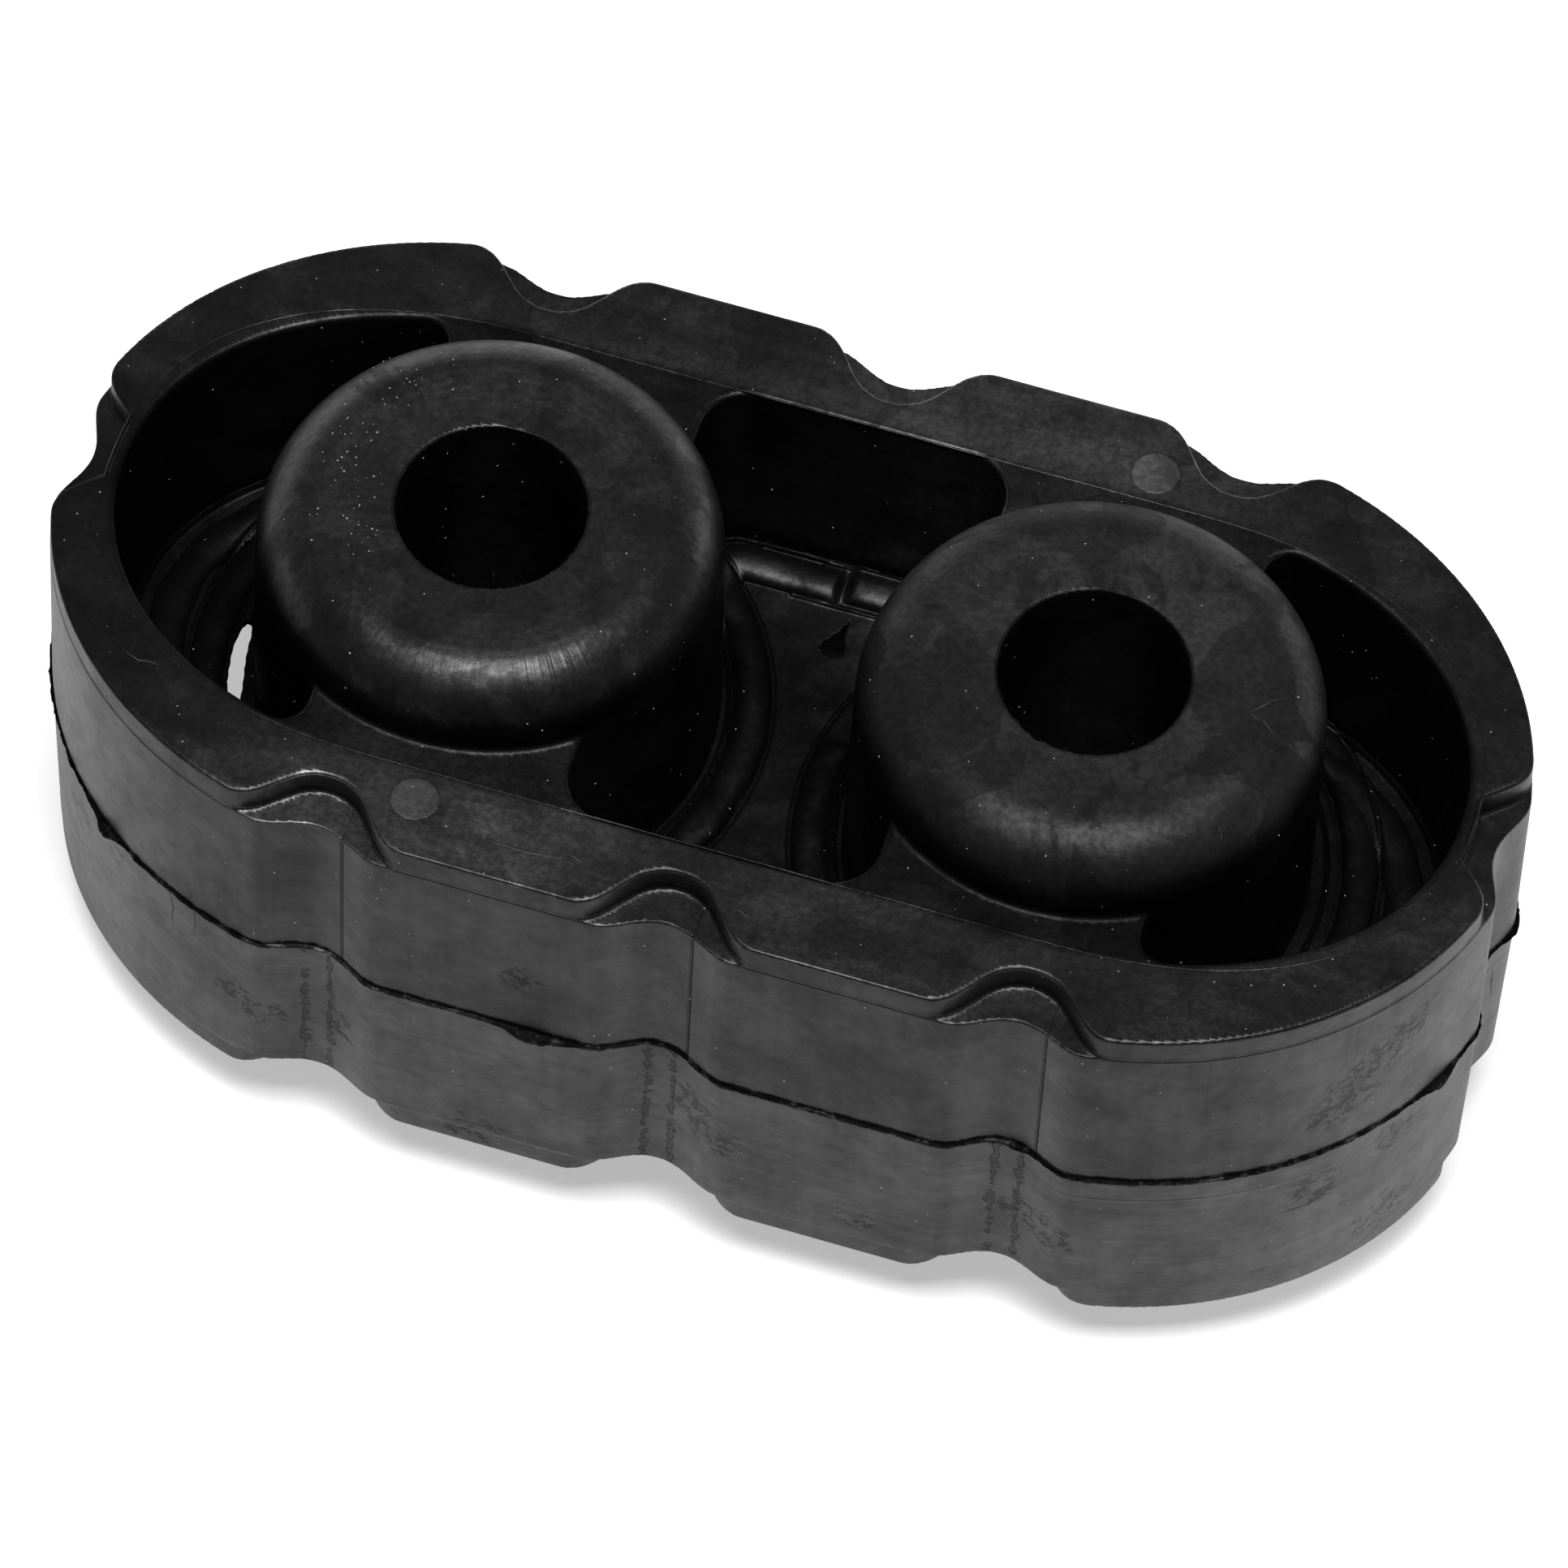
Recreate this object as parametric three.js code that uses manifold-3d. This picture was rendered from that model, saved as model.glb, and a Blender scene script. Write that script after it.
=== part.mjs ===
// Exhaust hanger rubber: one moulded block with two bosses, each with a through bore for a hanger rod.
// The frame is a long ring with rounded ends and shallow flutes down its outside. Pockets round the
// bosses run through the block and are closed at mid-height by a thin web of flash.
// Millimetres, +Z up along the bores, +X along the row of bores. The shapes are drawn about the block's
// centre, at the parting plane, and the finished piece is then raised to stand on its lower bosses.
import * as THREE from 'three';
import { mergeVertices } from 'three/addons/utils/BufferGeometryUtils.js';
import Module from 'manifold-3d';

const wasm = await Module();
wasm.setup();

// Frame
const frameLength = 95.4;
const frameWidth = 46.3;
const frameHeight = 32.4;
const endReach = 26.4; // length of each curved end along X
const wallDraft = 0.2; // how much the outside grows from a face to the parting plane
const faceEdge = 0.4; // bevel of the frame's outer edges
const flashReach = 0.35; // how far the parting flash stands out
const flashHeight = 0.5;

// Bosses and bores
const boreSpacing = 39.1;
const boreDiameter = 12;
const boreEdge = 0.35;
const bossRadius = 14.65;
const bossStand = 5.1; // how far a boss stands above the frame's face
const bossRounding = 4.3;

// Walls between the outside and the pockets, and the webs that carry the bosses
const sideWall = 6.6;
const endWall = 4.2;
const endRim = 0.8; // what the end notches leave standing beside the end pockets
const webToMiddle = 9.6; // from a bore's axis to the middle pocket
const webToEnd = 7.4; // from a bore's axis to the end pocket
const middleCorner = 3;
const endCorner = 2.2;
const endBulge = 2.1; // exponent of the end pocket's outer curve, 2 for an ellipse
const pocketEdge = 0.4;
const pocketDraft = 0.25;

// Web of flash across the pockets, with a bead beside each wall
const membrane = 0.7;
const beadHeight = 0.55; // above the web of flash
const beadRadius = 1.35;
const beadFromWall = 1.6; // from a pocket's outer wall to the middle of its bead
const beadFromBoss = 2.1;

// Two tears in the web of flash: a slit beside the boss at -X, and a small ragged hole
const slitRadius = 16.1; // from the bore's axis
const slitWidth = 1.05;
const slitFrom = 179; // degrees round the bore
const slitTo = 203;
const tearPlace = new THREE.Vector2(0.5, 10.6);
const tearShape = [[-0.9, -0.9], [-0.2, -1.4], [0.7, -1], [0.6, 0.1], [0.3, 1.5], [-0.1, 0.3], [-0.8, -0.3]];

// Notches in the two face bands, and the shallower flutes that run between them
const notchPitch = 22.8;
const notchRadius = 3.3;
const notchDepth = 4;
const notchLip = 3;
const bandHeight = 2;
const fluteRadius = 2.5;
const fluteDepth = 1.6;
const fluteLip = 2.2;

// Ejector marks on the upper face
const markRadius = 1.5;
const smallMarkRadius = 1;
const markDepth = 0.15;
const markPlace = new THREE.Vector2(18.4, 18.8);
const smallMarkPlace = new THREE.Vector2(31.6, 20.2);

// Fineness of the curves
const endSteps = 24;
const roundSteps = 40;
const lipSteps = 3;
const hollowSteps = 7;
const roundingSteps = 5;
const markSteps = 16;
const beadSteps = 6;
const beadTurnSteps = 24;
const overcut = 2; // how far a cutter stands clear of what it cuts
const mergeWithin = 1e-5; // points closer than this are one point

// Sizes that follow from the ones above
const halfLength = frameLength / 2;
const halfWidth = frameWidth / 2;
const faceZ = frameHeight / 2;
const bossZ = faceZ + bossStand;
const boreX = boreSpacing / 2;
const bevelZ = faceZ - faceEdge;
const ledgeZ = faceZ - bandHeight;
const webZ = membrane / 2;
const endCentre = halfLength - endReach;
const pocketHalfWidth = halfWidth - sideWall;
const endPocketReach = halfLength - endWall - endCentre;

// Points along a circle's arc, angles in radians.
function arc(centreX, centreY, radius, from, to, steps) {
  const points = [];
  for (let i = 0; i <= steps; i++) {
    const angle = from + ((to - from) * i) / steps;
    points.push(new THREE.Vector2(centreX + radius * Math.cos(angle), centreY + radius * Math.sin(angle)));
  }
  return points;
}

// A full circle.
function circle(centreX, centreY, radius, steps) {
  return arc(centreX, centreY, radius, 0, 2 * Math.PI, steps).slice(1);
}

// Half of a closed curve at one end: |x/a|^n + |y/b|^n = 1, from -Y round to +Y.
function roundEnd(centreX, reach, half, exponent, steps) {
  const points = [];
  for (let i = 0; i <= steps; i++) {
    const angle = -Math.PI / 2 + (Math.PI * i) / steps;
    const across = Math.abs(Math.cos(angle)) ** (2 / exponent);
    const along = Math.sign(Math.sin(angle)) * Math.abs(Math.sin(angle)) ** (2 / exponent);
    points.push(new THREE.Vector2(centreX + reach * across, half * along));
  }
  return points;
}

const turned = (points, angle) => points.map((p) => p.clone().rotateAround(new THREE.Vector2(), angle));
const moved = (points, x, y) => points.map((p) => new THREE.Vector2(p.x + x, p.y + y));

// The closed curve that the pockets' outer walls lie on, drawn in by an inset at its ends and sides.
function pocketLoop(endInset, sideInset, steps) {
  const half = pocketHalfWidth - sideInset;
  const right = roundEnd(endCentre, endPocketReach - endInset, half, endBulge, steps);
  return [...right, ...turned(right, Math.PI)];
}

// The frame's outline without flutes, drawn in by an inset.
function frameOutline(inset) {
  const right = roundEnd(endCentre, endReach - inset, halfWidth - inset, 2, endSteps);
  return [...right, ...turned(right, Math.PI)];
}

// Turns a three.js geometry into a solid.
function solid(geometry) {
  const bare = new THREE.BufferGeometry();
  bare.setAttribute('position', geometry.getAttribute('position'));
  if (geometry.index) bare.setIndex(geometry.index);
  const merged = mergeVertices(bare, mergeWithin);
  return new wasm.Manifold(new wasm.Mesh({
    numProp: 3,
    vertProperties: new Float32Array(merged.getAttribute('position').array),
    triVerts: new Uint32Array(merged.index.array),
  }));
}

// A closed solid through a stack of outlines, each with the same number of points and its own height.
function loft(layers) {
  const count = layers[0].points.length;
  const positions = layers.flatMap(({ points, z }) => points.flatMap((p) => [p.x, p.y, z]));
  const triangles = [];
  for (let layer = 0; layer < layers.length - 1; layer++) {
    for (let i = 0; i < count; i++) {
      const a = layer * count + i;
      const b = layer * count + ((i + 1) % count);
      triangles.push(a, b, b + count, a, b + count, a + count);
    }
  }
  const top = (layers.length - 1) * count;
  for (const [a, b, c] of THREE.ShapeUtils.triangulateShape(layers[0].points, [])) triangles.push(a, c, b);
  for (const [a, b, c] of THREE.ShapeUtils.triangulateShape(layers.at(-1).points, [])) {
    triangles.push(top + a, top + b, top + c);
  }
  const geometry = new THREE.BufferGeometry();
  geometry.setAttribute('position', new THREE.Float32BufferAttribute(positions, 3));
  geometry.setIndex(triangles);
  return solid(geometry);
}

const prism = (points, from, to) => loft([{ points, z: from }, { points, z: to }]);

// A solid of revolution about an upright axis at x, from (radius, height) pairs that start and end on it.
function turnedSolid(profile, x) {
  const geometry = new THREE.LatheGeometry(profile.map(([r, z]) => new THREE.Vector2(r, z)), roundSteps);
  geometry.rotateX(Math.PI / 2).translate(x, 0, 0);
  return solid(geometry);
}

const mirroredBelow = (body) => body.mirror([0, 0, 1]);

// Where the flutes and notches stand, at an inset from the frame's greatest outline: each has a place
// and the angle that it faces.
function hollowPlaces(inset) {
  const endX = halfLength - inset;
  const sideY = halfWidth - inset;
  const places = [{ x: endX, y: 0, angle: Math.PI / 2 }, { x: -endX, y: 0, angle: -Math.PI / 2 }];
  for (const step of [-1, 0, 1]) {
    places.push({ x: step * notchPitch, y: -sideY, angle: 0 });
    places.push({ x: step * notchPitch, y: sideY, angle: Math.PI });
  }
  return places;
}

// Outline of a cutter for a rounded hollow in a wall that lies along Y = 0 with the material above it.
// A round bottom runs into the wall over two rounded lips.
function hollowOutline(radius, depth, lip) {
  const centreY = depth - radius;
  const lipX = Math.sqrt((radius + lip) ** 2 - (lip - centreY) ** 2);
  const meet = Math.atan2(lip - centreY, lipX);
  return [
    new THREE.Vector2(-lipX, -overcut),
    new THREE.Vector2(lipX, -overcut),
    ...arc(lipX, lip, lip, -Math.PI / 2, -Math.PI + meet, lipSteps),
    ...arc(0, centreY, radius, meet, Math.PI - meet, hollowSteps).slice(1, -1),
    ...arc(-lipX, lip, lip, -meet, -Math.PI / 2, lipSteps),
  ];
}

// Cutters for all the hollows of one kind, at an inset from the outline, between two heights.
function hollows(inset, radius, depth, lip, from, to) {
  const outline = hollowOutline(radius, depth, lip);
  const outlines = hollowPlaces(inset).map(({ x, y, angle }) => moved(turned(outline, angle), x, y));
  return outlines.map((points) => prism(points, from, to)).reduce((sum, cutter) => sum.add(cutter));
}

// The outer block, with its flutes, face notches and the thin flash round its parting plane.
function frameBlock() {
  const block = loft([
    { points: frameOutline(wallDraft + faceEdge), z: -faceZ },
    { points: frameOutline(wallDraft), z: -bevelZ },
    { points: frameOutline(0), z: 0 },
    { points: frameOutline(wallDraft), z: bevelZ },
    { points: frameOutline(wallDraft + faceEdge), z: faceZ },
  ]);
  const flash = loft([
    { points: frameOutline(0), z: -flashHeight / 2 },
    { points: frameOutline(-flashReach), z: 0 },
    { points: frameOutline(0), z: flashHeight / 2 },
  ]);
  const flutes = hollows(0, fluteRadius, fluteDepth, fluteLip, -faceZ - overcut, faceZ + overcut);
  const flashFlutes = hollows(
    0, fluteRadius - flashReach, fluteDepth - flashReach, fluteLip + flashReach, -flashHeight, flashHeight);
  const inset = wallDraft + faceEdge / 2; // the wall at the face
  const notches = hollows(inset, notchRadius, notchDepth, notchLip, ledgeZ, faceZ + overcut);
  const rim = prism(pocketLoop(-endRim, 0, endSteps), ledgeZ - overcut, faceZ + overcut);
  const cuts = notches.subtract(rim);
  const fluted = block.subtract(flutes).add(flash.subtract(flashFlutes));
  return fluted.subtract(cuts).subtract(mirroredBelow(cuts));
}

// One boss with its large rounding above and below.
function boss(x) {
  const flat = bossRadius - bossRounding;
  const rounding = arc(flat, bossZ - bossRounding, bossRounding, 0, Math.PI / 2, roundingSteps);
  const upper = rounding.map((p) => [p.x, p.y]);
  const lower = upper.map(([r, z]) => [r, -z]).reverse();
  return turnedSolid([[0, -bossZ], ...lower, [bossRadius + pocketDraft, 0], ...upper, [0, bossZ]], x);
}

// The bore's cutter, wider at its two rims.
function bore(x) {
  const radius = boreDiameter / 2;
  const rim = radius + boreEdge;
  return turnedSolid([
    [0, -bossZ - overcut],
    [rim, -bossZ - overcut],
    [rim, -bossZ],
    [radius, -bossZ + boreEdge],
    [radius, bossZ - boreEdge],
    [rim, bossZ],
    [rim, bossZ + overcut],
    [0, bossZ + overcut],
  ], x);
}

// Outline of the middle pocket, before the bosses take their part of it.
function middlePocket(inset) {
  const halfX = boreX - webToMiddle - inset;
  const halfY = pocketHalfWidth - inset;
  const corner = middleCorner - inset;
  const corners = [[1, -1], [1, 1], [-1, 1], [-1, -1]];
  return corners.flatMap(([sideX, sideY], i) => {
    const start = ((i - 1) * Math.PI) / 2;
    const centreX = sideX * (halfX - corner);
    const centreY = sideY * (halfY - corner);
    return arc(centreX, centreY, corner, start, start + Math.PI / 2, lipSteps * 2);
  });
}

// Outline of the end pocket at +X, before the boss takes its part of it.
function endPocket(inset) {
  const straightX = boreX + webToEnd + inset;
  const corner = endCorner - inset;
  const half = pocketHalfWidth - inset;
  const cornerX = straightX + corner;
  const curve = roundEnd(endCentre, endPocketReach - inset, half, endBulge, endSteps);
  const outer = curve.filter((p) => p.x > cornerX);
  const cornerY = outer.at(-1).y - corner;
  return [
    ...arc(cornerX, -cornerY, corner, -Math.PI, -Math.PI / 2, lipSteps * 2),
    ...outer,
    ...arc(cornerX, cornerY, corner, Math.PI / 2, Math.PI, lipSteps * 2),
  ];
}

// The upper half of a pocket: drawn in by its draft at the web of flash, opened by a bevel at the face.
function pocketCutter(outline) {
  return loft([
    { points: outline(pocketDraft), z: webZ },
    { points: outline(0), z: faceZ - pocketEdge },
    { points: outline(-pocketEdge), z: faceZ },
    { points: outline(-pocketEdge), z: faceZ + overcut },
  ]);
}

// A bead along a closed path on the web of flash, standing out above and below it.
function bead(path) {
  const count = path.length;
  const section = arc(0, 0, 1, 0, 2 * Math.PI, beadSteps).slice(1);
  const positions = [];
  const triangles = [];
  for (let i = 0; i < count; i++) {
    const along = path[(i + 1) % count].clone().sub(path[(i + count - 1) % count]).normalize();
    for (const { x, y } of section) {
      const across = x * beadRadius;
      positions.push(path[i].x + along.y * across, path[i].y - along.x * across, y * (webZ + beadHeight));
    }
    for (let k = 0; k < beadSteps; k++) {
      const a = i * beadSteps + k;
      const b = i * beadSteps + ((k + 1) % beadSteps);
      const shift = (i + 1 < count ? 1 : 1 - count) * beadSteps;
      triangles.push(a, a + shift, b, b, a + shift, b + shift);
    }
  }
  const geometry = new THREE.BufferGeometry();
  geometry.setAttribute('position', new THREE.Float32BufferAttribute(positions, 3));
  geometry.setIndex(triangles);
  return solid(geometry);
}

// Beads beside the pockets' outer walls and round each boss.
function beads() {
  const ring = bossRadius + beadFromBoss;
  return bead(pocketLoop(beadFromWall, beadFromWall, beadTurnSteps / 2))
    .add(bead(circle(boreX, 0, ring, beadTurnSteps)))
    .add(bead(circle(-boreX, 0, ring, beadTurnSteps)));
}

// Cutters for the two tears in the web of flash.
function tears() {
  const from = THREE.MathUtils.degToRad(slitFrom);
  const to = THREE.MathUtils.degToRad(slitTo);
  const edge = (side) => arc(0, 0, 1, from, to, hollowSteps).map((p, i) => {
    const half = (slitWidth / 2) * Math.sin((Math.PI * i) / hollowSteps);
    return p.multiplyScalar(slitRadius + side * half);
  });
  const slit = moved([...edge(1), ...edge(-1).slice(1, -1).reverse()], -boreX, 0);
  const hole = tearShape.map(([x, y]) => new THREE.Vector2(x, y).add(tearPlace));
  return prism(slit, -overcut, overcut).add(prism(hole, -overcut, overcut));
}

// Cutters for the round marks that ejector pins leave in the upper face, alike at both ends.
function marks() {
  const mark = (place, radius) => {
    const outline = circle(place.x, place.y, radius, markSteps);
    return prism(outline, faceZ - markDepth, faceZ + overcut);
  };
  const pair = mark(markPlace, markRadius).add(mark(smallMarkPlace, smallMarkRadius));
  return pair.add(pair.rotate([0, 0, 180]));
}

function hangerRubber() {
  const bosses = boss(-boreX).add(boss(boreX));
  const end = pocketCutter(endPocket);
  const otherEnd = end.mirror([1, 0, 0]);
  const pockets = pocketCutter(middlePocket).add(end).add(otherEnd);
  const hollowed = frameBlock().subtract(pockets).subtract(mirroredBelow(pockets));
  const body = hollowed.add(bosses.add(beads())).subtract(tears()).subtract(marks());
  return body.subtract(bore(-boreX)).subtract(bore(boreX));
}

function meshOf(body, name, material) {
  const { vertProperties, triVerts } = body.getMesh();
  const geometry = new THREE.BufferGeometry();
  geometry.setAttribute('position', new THREE.BufferAttribute(new Float32Array(vertProperties), 3));
  geometry.setIndex(new THREE.BufferAttribute(new Uint32Array(triVerts), 1));
  const mesh = new THREE.Mesh(geometry, material);
  mesh.name = name;
  return mesh;
}

const rubber = new THREE.MeshStandardMaterial({ color: 0x1c1c1d, roughness: 0.62, metalness: 0 });
const group = new THREE.Group();
const piece = meshOf(hangerRubber(), 'hanger_rubber', rubber);
piece.position.z = bossZ; // it stands on the lower ends of its bosses
group.add(piece);
export default group;
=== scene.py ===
"""The looks of the exhaust hanger rubber: one moulded piece of black rubber on a white floor.

The rubber's shape is a signed distance in millimetres about the middle of its parting plane: below zero
inside, zero on the surface. It is written as formulas over arrays of points, turned into a mesh on a fine
grid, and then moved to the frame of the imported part, in metres. The webs of flash across the pockets are
made the same way on a finer grid. Thin flash lines, scuffs and dust are laid on the finished surface.
"""
import math

import bpy
import numpy as np
import openvdb
from mathutils import Matrix, Vector
from mathutils.bvhtree import BVHTree


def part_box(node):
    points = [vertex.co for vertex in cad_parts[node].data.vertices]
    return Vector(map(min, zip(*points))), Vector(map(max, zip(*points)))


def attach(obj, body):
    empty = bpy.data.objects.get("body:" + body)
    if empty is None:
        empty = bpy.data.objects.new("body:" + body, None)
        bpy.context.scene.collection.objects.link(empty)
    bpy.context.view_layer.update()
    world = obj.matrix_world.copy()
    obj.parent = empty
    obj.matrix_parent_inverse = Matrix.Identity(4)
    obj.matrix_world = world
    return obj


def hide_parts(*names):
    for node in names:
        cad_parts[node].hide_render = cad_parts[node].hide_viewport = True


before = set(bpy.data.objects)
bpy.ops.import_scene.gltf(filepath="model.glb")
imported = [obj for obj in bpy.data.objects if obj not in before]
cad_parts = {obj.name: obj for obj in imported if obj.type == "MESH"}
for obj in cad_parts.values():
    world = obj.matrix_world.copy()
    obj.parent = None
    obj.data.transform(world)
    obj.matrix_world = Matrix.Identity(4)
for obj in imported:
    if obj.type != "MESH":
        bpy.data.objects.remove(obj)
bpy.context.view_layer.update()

MM = 0.001
NODE = "hanger_rubber"
LOW, HIGH = (np.array(corner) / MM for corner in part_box(NODE))

# Sizes of the block, as in the part's source
BOSS_Z = (HIGH[2] - LOW[2]) / 2
FACE_Z = 16.2
HALF_LENGTH = 47.7
HALF_WIDTH = 23.15
END_REACH = 26.4
WALL_DRAFT = 0.2
BORE_X = 19.55
BORE_RADIUS = 6.0
BOSS_RADIUS = 14.65
BOSS_ROUNDING = 4.3
SIDE_WALL = 6.6
END_WALL = 4.2
END_RIM = 0.8
END_BULGE = 2.1
POCKET_DRAFT = 0.25
MIDDLE_POCKET_X = 9.95
MIDDLE_CORNER = 3.0
END_POCKET_X = 26.95
END_CORNER = 2.2
WEB_Z = 0.35
NOTCH_RADIUS, NOTCH_DEPTH, NOTCH_LIP = 3.3, 4.3, 3.0
BAND_HEIGHT = 2.0
FLUTE_RADIUS, FLUTE_DEPTH, FLUTE_LIP = 2.5, 1.6, 2.2
END_CENTRE = HALF_LENGTH - END_REACH
POCKET_HALF_WIDTH = HALF_WIDTH - SIDE_WALL
END_POCKET_REACH = HALF_LENGTH - END_WALL - END_CENTRE

# The hollows down the outside. On the photographed rubber they sit a little off their even places.
NOTCH_PITCH = 22.7
FRONT_SLIP, BACK_SLIP, END_SLIP = -1.2, 0.8, 0.5

# Small roundings of the moulded edges
OUTER_EDGE = 0.24
LEDGE_EDGE = 0.15
LEDGE_FILLET = 0.22
POCKET_EDGE = 0.35
BORE_EDGE = 0.14
FOOT_FILLET = 0.35

# Beads on the webs of flash: place of the crest, half width and height. The middle pocket's bead is
# broken at the back and goes on a little further out, and the ring at +X is torn off beyond its front.
WALL_BEAD = (1.9, 1.35, 0.75)
RING_BEAD = (16.8, 1.25, 0.7)
END_WALL_BEAD = (2.6, 1.25, 0.6)
END_RING_BEAD = (18.0, 1.1, 0.5)
BEAD_BREAK_X, BEAD_STEP_X, BEAD_STEP = -0.15, -0.2, 0.35
RING_TORN_Y = 2.8

# Tears in the webs: a slit round the bore at -X, and a small ragged hole
SLIT_RADIUS, SLIT_WIDTH = 16.12, 1.05
SLIT_MIDDLE, SLIT_HALF_ANGLE = 190.8, 12.2
TEAR = [(-0.27, 10.21), (-0.41, 9.73), (0.27, 9.23), (1.14, 9.57), (1.13, 10.38), (0.82, 10.86),
        (0.83, 12.17), (0.38, 11.1)]

# The torn rim of the bore at +X, measured from the bore's middle
RIM_TEAR_LEFT, RIM_TEAR_FORWARD, RIM_TEAR_DEPTH = 2.5, 5.5, 0.18

# Round marks of the ejector pins in the upper face, point-symmetric about the middle
LARGE_MARK, LARGE_MARK_RADIUS = (18.4, 18.8), 1.5
SMALL_MARK, SMALL_MARK_RADIUS = (31.6, 20.2), 0.95

# Camera, fitted to the photo
PHOTO_SIDE = 1932
SENSOR = 36.0
FOCAL_PIXELS = 14000.0
AZIMUTH = math.radians(14.22)
ELEVATION = math.radians(57.56)
ROLL = math.radians(3.35)
DISTANCE = 721.9
AIM_RIGHT, AIM_UP = 0.23, -0.65

# Gloss of the rubber by region, as specular levels
FACE_GLOSS, FIRST_BOSS_GLOSS, SECOND_BOSS_GLOSS = 0.32, 0.42, 0.27
# The rise at the ends is a painted sheen: more gloss on the walls that face the ends.
UPPER_WALL_GLOSS, LOWER_WALL_GLOSS, END_PAINTED_SHEEN = 0.28, 0.47, 0.34
# Strength of the painted shade inside the pockets' loop below the bosses' rounded ends, and in the bores
POCKET_PAINTED_SHADE = 0.58

# Areas of the upper face that are glossier or duller: place, inner and outer radius, change
GLOSSY_AREAS = [(12.0, 20.5, 6, 20, 3.0), (-12.0, 20.5, 4, 16, 1.5), (-42.0, -6.0, 6, 18, 0.4),
                (-18.0, -19.0, 6, 16, 3.0), (10.0, -19.0, 4, 12, 1.3), (43.0, 6.0, 6, 16, 0.7)]

# Marks in the flutes, measured along the wall from a flute's middle, and a line low on the wall
CREASE = 1.75
CHANNEL = 1.7
LOW_LINE = 2.4

# A distance beyond every scuffed patch
FAR_OFF = 99.0

# Where the tool marks on the first boss are deepest
TOOL_MARKS = (-14.0, -10.5)

# Grids of the surfaces
BODY_VOXEL = 0.24
WEB_VOXEL = 0.15
BLOCK = 8
BAND = 3.0
MARGIN = 1.5
TRIANGLES = 190_000

random = np.random.default_rng(7)


def rounded_max(a, b, radius):
    """What lies in both solids, with its edge rounded."""
    corner = np.hypot(np.maximum(a + radius, 0), np.maximum(b + radius, 0))
    return np.minimum(np.maximum(a, b), -radius) + corner


def rounded_min(a, b, radius):
    """What lies in either solid, with a fillet in its corner."""
    return -rounded_max(-a, -b, radius)


def stadium(x, y, reach, half, exponent):
    """Distance to a straight-sided loop with curved ends that start at END_CENTRE."""
    along = np.maximum(np.abs(x) - END_CENTRE, 0) / reach
    across = np.abs(y) / half
    size = np.maximum(along ** exponent + across ** exponent, 1e-9) ** (1 / exponent)
    slope = np.hypot(along ** (exponent - 1) / reach, across ** (exponent - 1) / half)
    slope = slope * size ** (1 - exponent)
    return (size - 1) / np.maximum(slope, 1e-3)


def rounded_box(x, y, half_x, half_y, corner):
    across, along = np.abs(x) - half_x + corner, np.abs(y) - half_y + corner
    outside = np.hypot(np.maximum(across, 0), np.maximum(along, 0))
    return outside + np.minimum(np.maximum(across, along), 0) - corner


def polygon(x, y, corners):
    """Distance to the edge of a polygon in plan, below zero inside it."""
    nearest = np.full_like(x, 1e9)
    inside = np.zeros(x.shape, bool)
    for (ax, ay), (bx, by) in zip(corners, corners[1:] + corners[:1]):
        length = (bx - ax) ** 2 + (by - ay) ** 2
        share = np.clip(((x - ax) * (bx - ax) + (y - ay) * (by - ay)) / length, 0, 1)
        nearest = np.minimum(nearest, np.hypot(x - ax - share * (bx - ax), y - ay - share * (by - ay)))
        if by != ay:
            inside ^= ((ay > y) != (by > y)) & (x < ax + (bx - ax) * (y - ay) / (by - ay))
    return np.where(inside, -nearest, nearest)


def wobble(x, y, length, seed=0.0):
    """A smooth unevenness in plan, between about -1 and 1."""
    u, v = x / length, y / length
    return (np.sin(2.1 * u + 1.3 * v + seed) + np.sin(-1.7 * u + 2.9 * v + 2.3 * seed)
            + np.sin(3.3 * u + 0.7 * v + 4.1 * seed)) / 3


def hollow_circles(x, y, radius, depth):
    """Distance to the nearest of the eight round hollows down the outside."""
    inset = depth - radius
    slip = np.where(y < 0, FRONT_SLIP, BACK_SLIP)
    nearest = np.hypot(np.abs(x) - HALF_LENGTH + inset, y + END_SLIP * np.sign(x))
    for step in (-1, 0, 1):
        nearest = np.minimum(nearest, np.hypot(x - step * NOTCH_PITCH - slip, np.abs(y) - HALF_WIDTH + inset))
    return nearest - radius


def pocket_loop(x, y):
    return stadium(x, y, END_POCKET_REACH, POCKET_HALF_WIDTH, END_BULGE)


def pocket_plan(x, y):
    """Distance to the nearest pocket's outline at the faces."""
    middle = rounded_box(x, y, MIDDLE_POCKET_X, POCKET_HALF_WIDTH, MIDDLE_CORNER)
    end = rounded_max(pocket_loop(x, y), END_POCKET_X - np.abs(x), END_CORNER)
    return np.minimum(middle, end)


def frame_shape(x, y, z):
    """The outer block: its fluted body, and a band at each face with deeper notches."""
    height = np.abs(z)
    wall = stadium(x, y, END_REACH, HALF_WIDTH, 2) + WALL_DRAFT * height / FACE_Z
    fluted = rounded_max(wall, -hollow_circles(x, y, FLUTE_RADIUS, FLUTE_DEPTH), FLUTE_LIP)
    notch = np.maximum(hollow_circles(x, y, NOTCH_RADIUS, NOTCH_DEPTH), END_RIM - pocket_loop(x, y))
    notched = rounded_max(wall, -notch, NOTCH_LIP)
    stepped = rounded_min(notched, height - FACE_Z + BAND_HEIGHT, LEDGE_FILLET)
    return rounded_max(rounded_max(fluted, stepped, LEDGE_EDGE), height - FACE_Z, OUTER_EDGE)


def bosses(x, y, z):
    height = np.abs(z)
    side = np.hypot(np.abs(x) - BORE_X, y) - BOSS_RADIUS - POCKET_DRAFT * (1 - height / BOSS_Z)
    return rounded_max(side, height - BOSS_Z, BOSS_ROUNDING)


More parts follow.
